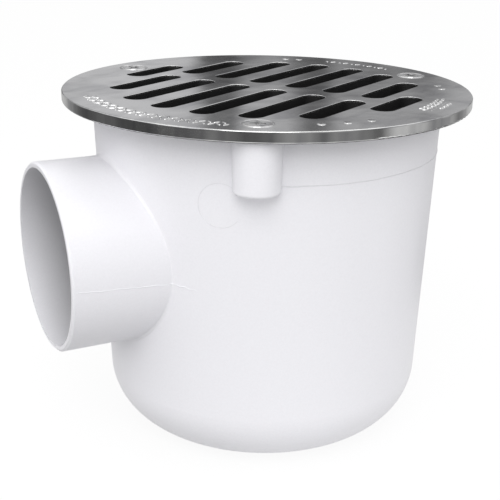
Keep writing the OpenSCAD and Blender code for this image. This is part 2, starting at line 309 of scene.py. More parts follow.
class Tree:
    """A node tree, and short ways to add nodes to it."""

    def __init__(self, tree: bpy.types.NodeTree) -> None:
        """Takes up a node tree.

        Args:
            tree: The node tree.
        """
        self.tree = tree

    def join(self, value: object, socket: Socket) -> None:
        """Feeds an input.

        Args:
            value: A number, a vector, a colour or another node's output.
            socket: The input.
        """
        if isinstance(value, bpy.types.NodeSocket):
            self.tree.links.new(value, socket)
        elif socket.type == "RGBA":
            socket.default_value = (*value, 1.0)
        else:
            socket.default_value = value

    def node(self, kind: str, inputs: Mapping[int | str, object] | None = None,
             **settings: object) -> bpy.types.Node:
        """Adds a node.

        Args:
            kind: Blender's name for the node without its ShaderNode prefix.
            inputs: Values or sockets for its inputs.
            **settings: The node's own settings.

        Returns:
            The node.
        """
        made = self.tree.nodes.new("ShaderNode" + kind)
        for key, value in settings.items():
            setattr(made, key, value)
        for key, value in (inputs or {}).items():
            self.join(value, made.inputs[key])
        return made

    def math(self, operation: str, first: Socket | float, second: Socket | float = 0.0,
             third: Socket | float = 0.0) -> Socket:
        """Result of a Math node, whose operation is named as Blender names it."""
        return self.node("Math", {0: first, 1: second, 2: third}, operation=operation).outputs[0]

    def step(self, value: Socket, start: float, end: float) -> Socket:
        """A soft step of a number, from 0 at start to 1 at end."""
        return self.node("MapRange", {"Value": value, "From Min": start, "From Max": end},
                         interpolation_type="SMOOTHSTEP").outputs["Result"]

    def span(self, value: Socket, low: float, high: float) -> Socket:
        """Spreads a number between 0 and 1 over the range from low to high."""
        return self.node("MapRange", {"Value": value, "To Min": low, "To Max": high}).outputs["Result"]

    def ramp(self, value: Socket, *stops: tuple[float, Colour]) -> Socket:
        """Turns a number into a colour.

        Args:
            value: The number.
            *stops: Positions and colours, in rising order.

        Returns:
            The colour.
        """
        made = self.node("ValToRGB", {"Fac": value})
        bar = made.color_ramp
        bar.elements[0].position, bar.elements[-1].position = stops[0][0], stops[-1][0]
        bar.elements[0].color, bar.elements[-1].color = (*stops[0][1], 1.0), (*stops[-1][1], 1.0)
        for position, colour in stops[1:-1]:
            bar.elements.new(position).color = (*colour, 1.0)
        return made.outputs["Color"]

    def mix(self, share: Socket | float, first: Socket | Colour, second: Socket | Colour,
            blend: str = "MIX") -> Socket:
        """Mixes two colours.

        Args:
            share: Share of the second.
            first: The first colour.
            second: The second colour.
            blend: Blender's name for the way of mixing.

        Returns:
            The mixed colour.
        """
        inputs = {"Factor": share, COLOUR_A: first, COLOUR_B: second}
        return self.node("Mix", inputs, data_type="RGBA", blend_type=blend).outputs[COLOUR_OUT]


class Sheet(Tree):
    """A material's node tree with a Principled shader, and coordinates that are fixed to the part."""

    def __init__(self, name: str) -> None:
        """Starts a material.

        Args:
            name: Name of the material.
        """
        self.material = bpy.data.materials.new(name)
        self.material.use_nodes = True
        super().__init__(self.material.node_tree)
        self.shader = self.tree.nodes["Principled BSDF"]
        self.place = self.node("TexCoord").outputs["Object"]

    def feed(self, name: str, value: object) -> None:
        """Feeds one of the Principled shader's inputs."""
        self.join(value, self.shader.inputs[name])

    def mapped(self, scale: Sequence[float], turn: float = 0.0) -> Socket:
        """Object coordinates, turned about Z by degrees and then stretched along each axis."""
        turned = self.node("Mapping", {"Vector": self.place, "Rotation": (0.0, 0.0, math.radians(turn))})
        return self.node("Mapping", {"Vector": turned.outputs[0], "Scale": tuple(scale)}).outputs[0]

    def noise(self, size: float, detail: float = 2.0, rough: float = 0.5, twist: float = 0.0,
              place: Socket | None = None) -> Socket:
        """Adds smooth noise.

        Args:
            size: Width of its features in millimetres.
            detail: Number of finer layers.
            rough: Strength of the finer layers.
            twist: How far it is distorted.
            place: Coordinates, or None for Object coordinates.

        Returns:
            A number around 0.5.
        """
        inputs = {"Vector": place or self.place, "Scale": 1.0 / (size * MM), "Detail": detail,
                  "Roughness": rough, "Distortion": twist}
        return self.node("TexNoise", inputs).outputs["Fac"]

    def reach(self, centre: Sequence[float] = (0.0, 0.0, 0.0)) -> Socket:
        """Distance in metres from the upright axis through a point at height 0."""
        flat = self.node("VectorMath", {0: self.place, 1: (1.0, 1.0, 0.0)}, operation="MULTIPLY").outputs[0]
        return self.node("VectorMath", {0: flat, 1: tuple(centre)}, operation="DISTANCE").outputs["Value"]

    def bumps(self, *layers: tuple[Socket, float]) -> None:
        """Raises the surface by layers of height, and feeds the shader's normal.

        Args:
            *layers: Height between 0 and 1, and the depth in millimetres that it stands for.
        """
        normal: Socket | None = None
        for height, depth in layers:
            inputs: dict[int | str, object] = {"Height": height, "Distance": depth * MM}
            if normal is not None:
                inputs["Normal"] = normal
            normal = self.node("Bump", inputs).outputs["Normal"]
        self.feed("Normal", normal)


# Finishes


@dataclass(frozen=True)
class MouldedPlastic:
    """Glossy moulded plastic: fine mottled colour, sink waves, faint grain and a few dark specks.

    Inside the chamber, where the mesh marks it, the colour is painted near-black with a faint mottle, as
    painted shade.
    """

    name: str
    light: Colour
    shade: Colour
    speck: Colour
    # Near-black colours of the painted shade inside the chamber.
    painted_shade: Colour = (0.035, 0.035, 0.034)
    painted_shade_pale: Colour = (0.07, 0.07, 0.066)
    roughness: float = 0.34
    polish_size: float = 22.0
    mottle_size: float = 1.2
    stain_size: float = 30.0
    sink_size: float = 60.0
    sink_depth: float = 0.06
    grain_size: float = 3.0
    grain_depth: float = 0.0008
    speck_size: float = 6.5
    speck_edge: tuple[float, float] = (0.02, 0.06)
    speck_share: tuple[float, float] = (0.9, 0.92)
    refraction: float = 1.53

    def build(self) -> bpy.types.Material:
        """Builds the material.

        Returns:
            The material.
        """
        sheet = Sheet(self.name)
        mottle = sheet.noise(self.mottle_size, detail=4.0, rough=0.7)
        base = sheet.ramp(mottle, (0.35, self.shade), (0.65, self.light))
        dots = sheet.node("TexVoronoi", {"Vector": sheet.place, "Scale": 1.0 / (self.speck_size * MM)},
                          feature="F1")
        near = sheet.math("SUBTRACT", 1.0, sheet.step(dots.outputs["Distance"], *self.speck_edge))
        picked = sheet.step(dots.outputs["Color"], *self.speck_share)
        base = sheet.mix(sheet.math("MULTIPLY", near, picked), base, self.speck)
        # Painted shade: the chamber's inside is painted near-black, with a faint mottle, where shade falls.
        painted_shade = sheet.node("Attribute", attribute_name=PAINTED_SHADE_ATTRIBUTE).outputs["Fac"]
        stain = sheet.noise(self.stain_size, detail=3.0)
        base = sheet.mix(painted_shade, base, sheet.ramp(stain, (0.4, self.painted_shade), (0.7, self.painted_shade_pale)))
        sheet.feed("Base Color", base)
        dull = sheet.noise(self.polish_size, detail=1.0)
        sheet.feed("Roughness", sheet.span(dull, self.roughness - 0.04, self.roughness + 0.05))
        sheet.feed("IOR", self.refraction)
        sheet.bumps((sheet.noise(self.sink_size, detail=0.0), self.sink_depth),
                    (sheet.noise(self.grain_size, detail=0.0), self.grain_depth))
        return sheet.material


@dataclass(frozen=True)
class PolishedCasting:
    """Polished cast metal: smoky clouds and streaks along the slots, partly painted reflection, a wavy surface
    and pits.

    The slots' walls and the lowest edge are painted near-black and dull as shade, and the lowest edge gives no
    reflection. The outer side is banded upright, partly as painted reflection.
    """

    name: str
    bright: Colour
    dull: Colour
    smoke_and_dark_reflection: Colour
    # Near-black painted shade of the slots' walls and the lowest edge.
    slot_and_edge_shade: Colour = (0.05, 0.05, 0.05)
    roughness: float = 0.1
    cloud_size: float = 34.0
    streak_size: float = 40.0
    streak_squeeze: float = 3.6
    streak_turn: float = 30.0
    streak_share: float = 0.38
    band_size: float = 13.0
    wear_size: float = 18.0
    wave_size: float = 30.0
    wave_depth: float = 0.16
    dent_size: float = 5.0
    dent_depth: float = 0.012
    pit_size: float = 2.6
    pit_depth: float = 0.004
    rim_radius: float = 121.8
    face: float = 211.5
    foot: float = 205.9

    def build(self) -> bpy.types.Material:
        """Builds the material.

        Returns:
            The material.
        """
        sheet = Sheet(self.name)
        # Partly random tone and partly painted reflection: the clouds and streaks paint light and dark bands
        # of the surroundings into the colour.
        clouds = sheet.noise(self.cloud_size, detail=3.0, rough=0.45, twist=0.8)
        squeezed = sheet.mapped((1.0, self.streak_squeeze, 1.0), turn=-self.streak_turn)
        streaks = sheet.noise(self.streak_size, detail=3.0, place=squeezed)
        blend = sheet.math("ADD", sheet.math("MULTIPLY", clouds, 1.0 - self.streak_share),
                           sheet.math("MULTIPLY", streaks, self.streak_share))
        base = sheet.ramp(blend, (0.38, self.smoke_and_dark_reflection), (0.47, self.dull), (0.56, self.bright))
        fine = sheet.noise(2.4, detail=4.0, rough=0.65)
        base = sheet.mix(sheet.span(fine, 0.0, 0.32), base, self.dull)
        slot_and_edge_shade, side, lowest = self._regions(sheet)
        # Upright bands on the outer side, partly painted reflection of the surroundings.
        bands = sheet.noise(self.band_size, detail=2.0, place=sheet.mapped((1.0, 1.0, 0.1)))
        banded = sheet.ramp(bands, (0.38, self.smoke_and_dark_reflection), (0.5, self.dull), (0.6, self.bright))
        base = sheet.mix(sheet.math("MULTIPLY", side, 0.7), base, banded)
        # Painted shade: the slots' walls and the lowest edge are painted near-black, and the lowest edge gives
        # no reflection.
        sheet.feed("Base Color", sheet.mix(slot_and_edge_shade, base, self.slot_and_edge_shade))
        sheet.feed("Metallic", sheet.math("SUBTRACT", 1.0, lowest))
        sheet.feed("Specular IOR Level", 0.0)
        worn = sheet.noise(self.wear_size, detail=4.0, rough=0.6)
        polish = sheet.span(worn, self.roughness - 0.07, self.roughness + 0.09)
        sheet.feed("Roughness", sheet.math("MULTIPLY_ADD", slot_and_edge_shade, 0.5, polish))
        pits = sheet.node("TexVoronoi", {"Vector": sheet.place, "Scale": 1.0 / (self.pit_size * MM)})
        sheet.bumps((sheet.noise(self.wave_size, detail=1.0, twist=0.3), self.wave_depth),
                    (sheet.noise(self.dent_size, detail=2.0), self.dent_depth),
                    (sheet.step(pits.outputs["Distance"], 0.02, 0.22), self.pit_depth),
                    (sheet.noise(0.8, detail=2.0), 0.001))
        return sheet.material

    def _regions(self, sheet: Sheet) -> tuple[Socket, Socket, Socket]:
        """Picks out the parts of the plate with painted shade, and its upright-banded outer side.

        Args:
            sheet: The material under way.

        Returns:
            1 on the slots' walls and the lowest edge, 1 on the outer side, and 1 on the lowest edge.
        """
        height = sheet.node("SeparateXYZ", {0: sheet.place}).outputs[2]
        outer = sheet.step(sheet.reach(), (self.rim_radius - 0.6) * MM, (self.rim_radius - 0.1) * MM)
        below = sheet.step(height, self.face * MM, (self.face - 0.6) * MM)
        inner = sheet.math("MULTIPLY", sheet.math("SUBTRACT", 1.0, outer), below)
        lowest = sheet.step(height, (self.foot + 0.3) * MM, self.foot * MM)
        return sheet.math("MAXIMUM", inner, lowest), sheet.math("MULTIPLY", outer, below), lowest


@dataclass(frozen=True)
class TurnedMetal:
    """Bright turned metal: fine rings about each screw's own axis, with a little staining."""

    name: str
    bright: Colour
    stain: Colour
    roughness: float
    circle: float = 105.0
    count: int = 3
    ring_width: float = 0.35
    ring_depth: float = 0.006
    stain_size: float = 3.5
    wear_size: float = 1.6

    def build(self) -> bpy.types.Material:
        """Builds the material.

        Returns:
            The material.
        """
        sheet = Sheet(self.name)
        radius = self._radius(sheet)
        rings = sheet.math("SINE", sheet.math("MULTIPLY", radius, 2.0 * math.pi / (self.ring_width * MM)))
        stains = sheet.noise(self.stain_size, detail=3.0, rough=0.6)
        sheet.feed("Base Color", sheet.ramp(stains, (0.38, self.stain), (0.56, self.bright)))
        sheet.feed("Metallic", 1.0)
        worn = sheet.noise(self.wear_size, detail=3.0)
        sheet.feed("Roughness", sheet.span(worn, self.roughness - 0.05, self.roughness + 0.1))
        sheet.bumps((sheet.math("MULTIPLY_ADD", rings, 0.5, 0.5), self.ring_depth),
                    (sheet.noise(2.0, detail=2.0), 0.01))
        return sheet.material

    def _radius(self, sheet: Sheet) -> Socket:
        """Distance from the nearest screw's axis, in the plane of the grate.

        Args:
            sheet: The material under way.

        Returns:
            The distance in metres.
        """
        centres = polar(self.circle * MM, np.arange(self.count) * 360.0 / self.count, 0.0)
        gaps = [sheet.reach(centre) for centre in centres.tolist()]
        return functools.reduce(lambda first, second: sheet.math("MINIMUM", first, second), gaps)


@dataclass(frozen=True)
class Rubber:
    """Dull moulded rubber with a dusty bloom and a fine grain."""

    name: str = "seal_rubber"
    dark: Colour = (0.018, 0.018, 0.019)
    bloom: Colour = (0.05, 0.05, 0.05)
    roughness: float = 0.62

    def build(self) -> bpy.types.Material:
        """Builds the material.

        Returns:
            The material.
        """
        sheet = Sheet(self.name)
        dust = sheet.noise(9.0, detail=4.0, rough=0.6)
        sheet.feed("Base Color", sheet.ramp(dust, (0.4, self.dark), (0.66, self.bloom)))
        sheet.feed("Roughness", sheet.span(dust, self.roughness - 0.08, self.roughness + 0.14))
        sheet.bumps((sheet.noise(14.0, detail=2.0), 0.12), (sheet.noise(0.7, detail=2.0), 0.02))
        return sheet.material


# Sub-assemblies


@dataclass
class Pot:
    """The one-piece moulded pot with its outlet spigot, and the fine lines that its mould leaves."""

    height: float = 205.5
    rim_radius: float = 105.0
    thickness: float = 4.0
    draft: float = 1.8
    mouth_start: float = 97.0
    spigot_radius: float = 55.0
    spigot_height: float = 123.0
    spigot_reach: float = 142.5
    shoulder: float = 109.3
    spigot_draft: float = 0.8
    fillet: float = 3.0
    finish: MouldedPlastic = field(default_factory=lambda: MouldedPlastic(
        "white_pvc", (0.887, 0.882, 0.917), (0.859, 0.854, 0.889), (0.52, 0.5, 0.48)))
    # The lines are painted a darker grey than the wall, as painted shade of the mould's small step.
    painted_line_shade: MouldedPlastic = field(default_factory=lambda: MouldedPlastic(
        "pvc_lines_painted_shade", (0.795, 0.79, 0.818), (0.755, 0.75, 0.778), (0.52, 0.5, 0.48)))
    parting_height: float = 178.9
    parting_radius: float = 0.26
    parting_start: float = -118.0
    parting_end: float = 160.0
    parting_waves: tuple[tuple[float, float], ...] = ((0.12, 9.0), (0.06, 31.0))
    seam_radius: float = 0.2
    seam_start: float = 1.6
    seam_stop: float = 1.15
    seam_drop: tuple[float, float] = (2.4, 6.0)
    seam_waves: tuple[tuple[float, float], ...] = ((0.22, 0.31), (0.12, 0.9))
    seam_turn: tuple[float, float] = (34.6, 41.5)
    seam_fall: float = 1.2
    seam_swell: tuple[tuple[float, float], ...] = ((0.35, 1.9),)
    seam_bow: float = 0.84
    mark_angle: float = 229.2
    mark_height: float = 167.0
    mark_radius: float = 12.3
    mark_bead: float = 0.12

    def build(self, nodes: Mapping[str, bpy.types.Object]) -> None:
        """Builds the pot's pieces.

        Args:
            nodes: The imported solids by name.
        """
        material = self.finish.build()
        lines = self.painted_line_shade.build()
        self._skin(nodes[Node.POT.value], material)
        self._parting_ring(lines)
        for side in (-1.0, 1.0):
            self._spigot_seam(side, material)
        self._insert_mark(lines)

    def wall(self, z: np.ndarray | float) -> np.ndarray | float:
        """Outside radius of the pot's wall: the rim's radius less the height below it times tan(draft)."""
        return self.rim_radius - (self.height - z) * math.tan(math.radians(self.draft))

    def root(self, x: np.ndarray | float) -> np.ndarray | float:
        """Outside radius of the spigot: constant at its mouth, and widening from the shoulder to the pot."""
        slope = math.tan(math.radians(self.spigot_draft))
        return self.spigot_radius + np.maximum(0.0, self.shoulder + x) * slope

    def wall_normal(self, points: np.ndarray) -> np.ndarray:
        """Unit vectors square to the wall at points: level outwards, tipped down by the draft angle."""
        tilt = math.radians(self.draft)
        level = unit(points * (1.0, 1.0, 0.0))
        return level * math.cos(tilt) - np.array((0.0, 0.0, math.sin(tilt)))

    def spigot_normal(self, points: np.ndarray) -> np.ndarray:
        """Unit vectors square to the spigot at points: straight out from its axis."""
        return unit((points - (0.0, 0.0, self.spigot_height)) * (0.0, 1.0, 1.0))

    def _skin(self, node: bpy.types.Object, material: bpy.types.Material) -> None:
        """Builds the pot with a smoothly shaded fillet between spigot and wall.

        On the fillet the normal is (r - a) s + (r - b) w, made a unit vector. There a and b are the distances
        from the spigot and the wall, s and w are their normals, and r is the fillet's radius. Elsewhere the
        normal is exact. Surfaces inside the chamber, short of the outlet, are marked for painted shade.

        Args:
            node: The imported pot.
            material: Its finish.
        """
        mesh, corners, exact = merged_copy(node, "pot_skin")
        from_spigot = np.hypot(corners[:, 1], corners[:, 2] - self.spigot_height) - self.root(corners[:, 0])
        from_wall = np.hypot(corners[:, 0], corners[:, 1]) - self.wall(corners[:, 2])
        margin, reach = 0.04, 1.6 * self.fillet
        inside = (corners[:, 0] < -0.5 * self.rim_radius) & (from_spigot > -margin) & (from_wall > -margin)
        inside &= (from_spigot < reach) & (from_wall < reach)
        faces = inside.reshape(-1, 3).all(axis=1)
        for gap in (from_spigot, from_wall):
            faces &= ~(np.abs(gap) < margin).reshape(-1, 3).all(axis=1)
        chosen = np.repeat(faces, 3)
        a = np.clip(self.fillet - from_spigot, 0.0, self.fillet)[:, None]
        b = np.clip(self.fillet - from_wall, 0.0, self.fillet)[:, None]
        hollow = a * self.spigot_normal(corners) + b * self.wall_normal(corners)
        normals = np.where(chosen[:, None], hollow, exact)
        towards = np.einsum("ij,ij->i", exact, corners - (0.0, 0.0, 0.5 * self.height))
        chamber = np.hypot(corners[:, 0], corners[:, 1]) < self.wall(corners[:, 2]) - 0.5 * self.thickness
        # Mask of the chamber's inside, short of the outlet, which the finish paints near-black as shade.
        painted_shade = (towards < 0.0) & chamber & (corners[:, 0] > -self.mouth_start)
        painted_shade &= corners[:, 2] < self.height - 0.1
        corner_values(mesh, PAINTED_SHADE_ATTRIBUTE, painted_shade)
        reshaded(mesh, normals, "pot_skin", Node.POT, material)

    def _parting_ring(self, material: bpy.types.Material) -> None:
        """Builds the hairline that the mould leaves round the wall, beside the bosses' feet.

        Its path is a circle at one height, from one side of the spigot's root to the other,
        and it rises and falls a little as a sum of two sines.

        Args:
            material: Finish of the lines, a darker grey painted as shade.
        """
        turn = np.linspace(self.parting_start, self.parting_end, 360)
        z = self.parting_height + waves(np.radians(turn), self.parting_waves)
        path = polar(self.wall(z), turn, z)
        points, faces = bead(path, self.wall_normal(path), self.parting_radius)
        new_piece("parting_ring", points, faces, material)

    def _spigot_seam(self, side: float, material: bpy.types.Material) -> None:
        """Builds the seam along one side of the spigot, over its fillet and a little way round the wall.

        On the spigot it drops slowly in angle, and on the wall slowly in height, both with small waves. Over
        the fillet it bows in from the chord by k u (1 - u) times the chord's length, at the share u of it.

        Args:
            side: -1 for the seam on -Y, 1 for the seam on +Y.
            material: The pot's finish.
        """
        edge = -math.sqrt(self.wall(self.spigot_height) ** 2 - self.spigot_radius ** 2)
        x = np.linspace(self.seam_start - self.spigot_reach, edge - self.seam_stop * self.fillet, 60)
        drop = np.radians(np.linspace(*self.seam_drop, len(x)))
        reach = self.root(x)
        z = self.spigot_height - reach * np.sin(drop) + waves(x, self.seam_waves)
        spigot = np.stack([x, side * np.sqrt(reach ** 2 - (z - self.spigot_height) ** 2), z], axis=-1)
        first, last = self.seam_turn
        turn = np.linspace(first, last, 26)
        height = z[-1] - self.seam_fall * (turn - first) / (last - first)
        height -= waves(turn - first, self.seam_swell)
        wall = polar(self.wall(height), 180.0 - side * turn, height)
        u = np.linspace(0.0, 1.0, 9)[1:-1, None]
        start, end = spigot[-1:], wall[:1]
        start_out, end_out = self.spigot_normal(start), self.wall_normal(end)
        bow = self.seam_bow * np.linalg.norm(end - start) * u * (1.0 - u)
        arc = start * (1.0 - u) + end * u - bow * unit(start_out + end_out)
        path = np.concatenate([spigot, arc, wall])
        outwards = np.concatenate([self.spigot_normal(spigot), unit(start_out * (1.0 - u) + end_out * u),
                                   self.wall_normal(wall)])
        points, faces = bead(path, outwards, self.seam_radius)
        name = "spigot_seam_left" if side < 0 else "spigot_seam_right"
        new_piece(name, points, faces, material)

    def _insert_mark(self, material: bpy.types.Material) -> None:
        """Builds the round hairline that a mould insert leaves on the wall beside a boss.

        Its path is a circle laid on the wall: across by angle, and up by height. It is open at the boss.

        Args:
            material: Finish of the lines, a darker grey painted as shade.
        """
        turn = np.radians(np.linspace(38.0, 322.0, 120))
        across = self.mark_radius * np.cos(turn)
        z = self.mark_height + self.mark_radius * np.sin(turn)
        path = polar(self.wall(z), self.mark_angle + np.degrees(across / self.wall(z)), z)
        points, faces = bead(path, self.wall_normal(path), self.mark_bead)
        new_piece("insert_mark", points, faces, material)


class MarkStyle(Enum):
    """Shapes of the raised grip marks on the grate: half their length, half their width, and their power."""

    TREAD = (2.1, 0.7, 0.8)
    GRAIN = (1.35, 0.42, 0.8)
    STUD = (2.6, 2.4, 0.9)
    RIB = (0.45, 17.0, 0.6)


@dataclass(frozen=True)
class MarkRow:
    """A row of equal marks on an arc of the margin."""

    name: str
    style: MarkStyle
    start: float
    end: float
    count: int
    radius: float


@dataclass
class Grate:
    """The slotted grate plate, with rounded edges and cast grip marks on its margin."""

    top: float = 212.5
    thickness: float = 7.0
    lowered: float = 0.4
    rise: float = 0.36
    sunk: float = 0.3
    tread_turn: float = 36.0
    screw_circle: float = 105.0
    screws: int = 3
    collar_radius: float = 8.6
    collar_width: float = 0.9
    finish: PolishedCasting = PolishedCasting(
        "grate_metal", (0.86, 0.86, 0.855), (0.7, 0.7, 0.7), (0.46, 0.46, 0.475))
    mark_finish: PolishedCasting = PolishedCasting(
        "grate_marks", (0.82, 0.82, 0.82), (0.66, 0.66, 0.66), (0.42, 0.42, 0.42), roughness=0.17)
    rows: tuple[MarkRow, ...] = (
        MarkRow("front_tread_outer", MarkStyle.TREAD, 175.5, 232.0, 28, 111.2),
        MarkRow("front_tread_inner", MarkStyle.TREAD, 176.6, 230.9, 27, 107.0),
        MarkRow("front_studs", MarkStyle.STUD, 257.5, 273.0, 3, 107.0),
        MarkRow("side_rib", MarkStyle.RIB, 306.0, 306.0, 1, 108.6),
        MarkRow("side_tread_outer", MarkStyle.GRAIN, 302.0, 310.0, 6, 111.8),
        MarkRow("side_tread_middle", MarkStyle.GRAIN, 297.0, 315.6, 13, 105.9),
        MarkRow("side_tread_inner", MarkStyle.GRAIN, 298.0, 314.6, 12, 102.9),
        MarkRow("side_studs", MarkStyle.STUD, 334.0, 340.0, 2, 106.0),
        MarkRow("back_tread", MarkStyle.TREAD, 15.0, 40.0, 11, 107.5),
        MarkRow("back_studs", MarkStyle.STUD, 51.0, 56.0, 2, 108.0),
    )

    def build(self, nodes: Mapping[str, bpy.types.Object]) -> None:
        """Builds the grate's pieces.

        Args:
            nodes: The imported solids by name.
        """
        self._plate(nodes[Node.GRATE.value], self.finish.build())
        marks = self.mark_finish.build()
        for row in self.rows:
            self._marks(row, marks)
        self._collars(marks)

    def _plate(self, node: bpy.types.Object, material: bpy.types.Material) -> None:
        """Builds the plate with its upper chamfers shaded as round edges.

        On a chamfer the normal points straight up at the top and level at the foot, and turns smoothly
        between them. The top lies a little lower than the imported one, so that the marks end at its height.

        Args:
            node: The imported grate.
            material: Its finish.
        """
        mesh, corners, exact = merged_copy(node, "grate_skin")
        upper = corners[:, 2] > self.top - 0.3 * self.thickness
        tipped = (exact[:, 2] > 0.4) & (exact[:, 2] < 0.9) & upper
        faces = np.repeat(tipped.reshape(-1, 3).all(axis=1), 3)
        high = faces & (corners[:, 2] > self.top - 0.01)
        low = faces & ~high
        normals = exact.copy()
        normals[high] = (0.0, 0.0, 1.0)
        normals[low] *= (1.0, 1.0, 0.0)
        places = read_all(mesh.vertices, "co", 3)
        raised = places[:, 2] > (self.top - 0.5 * self.thickness) * MM
        places[:, 2] -= np.where(raised, self.lowered * MM, 0.0)
        mesh.vertices.foreach_set("co", places.ravel())
        reshaded(mesh, normals, "grate_skin", Node.GRATE, material)

    def _collars(self, material: bpy.types.Material) -> None:
        """Builds the low round collar about each screw.

        A collar's section is half an ellipse: at w, from -1 to 1 across it, the height is rise sqrt(1 - w^2).
        The section is carried round the screw's axis, and its foot is sunk in the plate. Its faces point
        inwards.

        Args:
            material: Finish of the collars.
        """
        a = np.linspace(0.0, 2.0 * np.pi, 72, endpoint=False)[:, None]
        arch = np.linspace(-1.0, 1.0, 9)
        across = np.concatenate([[-1.0], arch, [1.0]])[None]
        lift = np.concatenate([[-self.sunk], self.rise * np.sqrt(1.0 - arch ** 2), [-self.sunk]])[None]
        radius = self.collar_radius + 0.5 * self.collar_width * across
        sides = across.shape[1]
        i, j = np.meshgrid(np.arange(len(a)), np.arange(sides), indexing="ij")
        after = (i + 1) % len(a)
        quads = np.stack([i * sides + j, after * sides + j, after * sides + (j + 1) % sides,
                          i * sides + (j + 1) % sides], axis=-1).reshape(-1, 4)
        for number, turn in enumerate(np.radians(np.arange(self.screws) * 360.0 / self.screws)):
            x = self.screw_circle * math.cos(turn) + radius * np.cos(a)
            y = self.screw_circle * math.sin(turn) + radius * np.sin(a)
            z = np.broadcast_to(self.top - self.lowered + lift, x.shape)
            points = np.stack([x, y, z], axis=-1)
            new_piece(f"screw_collar_{number + 1}", points, quads.tolist(), material)

    def _outlines(self, row: MarkRow, a: np.ndarray) -> np.ndarray:
        """Outlines of a row's marks, as superellipses whose first axis points out from the grate's middle.

        A point is (A c |c|^(q-1), B s |s|^(q-1)), where c and s are the angle's cosine and sine, and A, B and
        q are the style's two half sizes and its power.
        Treads lean by the tread's turn to one side and the other in turn.

        Args:
            row: The row.
            a: Angles round an outline.

        Returns:
            Marks by angles by 2, in millimetres.
        """
        length, width, power = row.style.value
        c, s = np.cos(a), np.sin(a)
        u = length * np.sign(c) * np.abs(c) ** power
        v = width * np.sign(s) * np.abs(s) ** power
        lean = math.radians(self.tread_turn if row.style in (MarkStyle.TREAD, MarkStyle.GRAIN) else 0.0)
        lean = lean * (1.0 - 2.0 * (np.arange(row.count) % 2))[:, None]
        return np.stack([u * np.cos(lean) - v * np.sin(lean), u * np.sin(lean) + v * np.cos(lean)], axis=-1)

    def _marks(self, row: MarkRow, material: bpy.types.Material) -> None:
        """Builds one row of marks as closed domes on the plate.

        Ring k of a dome is its outline times sqrt(1 - t^3), at height t times the rise, and t grows from the
        plate to the crown. The foot is a straight skirt sunk in the plate.

        Args:
            row: The row.
            material: Finish of the marks.
        """
        a = np.linspace(0.0, 2.0 * np.pi, 20, endpoint=False)
        t = np.array((0.0, 0.0, 0.35, 0.6, 0.8, 0.93, 0.99))
        height = self.top - self.lowered + t * self.rise
        height[0] -= self.sunk
        flat = np.sqrt(1.0 - t ** 3)[None, :, None, None] * self._outlines(row, a)[:, None]
        turn = np.radians(np.linspace(row.start, row.end, row.count))[:, None, None]
        out, along = row.radius + flat[..., 0], flat[..., 1]
        x = out * np.cos(turn) - along * np.sin(turn)
        y = out * np.sin(turn) + along * np.cos(turn)
        z = np.broadcast_to(height[None, :, None], x.shape)
        points = np.stack([x, y, z], axis=-1)
        one = ring_faces(len(t), len(a))
        step = len(t) * len(a)
        faces = [tuple(v + k * step for v in face) for k in range(row.count) for face in one]
        new_piece(row.name, points, faces, material)


@dataclass
class Fastenings:
    """The three countersunk screws and the brass inserts that they turn in."""

    screw: TurnedMetal = TurnedMetal("screw_steel", (0.74, 0.74, 0.735), (0.42, 0.42, 0.43), 0.34)
    insert: TurnedMetal = TurnedMetal(
        "insert_brass", (0.78, 0.58, 0.27), (0.5, 0.36, 0.17), 0.36, ring_width=0.6)

    def build(self, nodes: Mapping[str, bpy.types.Object]) -> None:
        """Dresses the screws and inserts.

        Args:
            nodes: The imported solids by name.
        """
        dress(nodes[Node.SCREWS.value], self.screw.build())
        dress(nodes[Node.INSERTS.value], self.insert.build())


@dataclass
class Hood:
    """The lift-out hood that holds the water seal, and the rubber strip round its edge."""

    # The hood's grey is painted dark, as shade inside the chamber.
    finish: MouldedPlastic = MouldedPlastic(
        "hood_pvc", (0.3, 0.3, 0.31), (0.25, 0.25, 0.26), (0.12, 0.12, 0.12), roughness=0.4, sink_depth=0.2)
    strip: Rubber = Rubber()

    def build(self, nodes: Mapping[str, bpy.types.Object]) -> None:
        """Dresses the hood and its strip.

        Args:
            nodes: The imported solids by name.
        """
        dress(nodes[Node.HOOD.value], self.finish.build())
        dress(nodes[Node.SEAL.value], self.strip.build())


# Studio and camera


@dataclass(frozen=True)
class Lamp:
    """A square soft lamp aimed at the part. Places are in metres."""

    name: str
    place: tuple[float, float, float]
    size: float
    watts: float
    aim: tuple[float, float, float] = (0.0, 0.0, 0.12)

    def build(self) -> None:
        """Builds the lamp."""
        data = bpy.data.lights.new(self.name, "AREA")
        data.shape, data.size, data.energy = "SQUARE", self.size, self.watts
        lamp = placed(self.name, data)
        lamp.location = self.place
        lamp.rotation_euler = (Vector(self.aim) - Vector(self.place)).to_track_quat("-Z", "Y").to_euler()


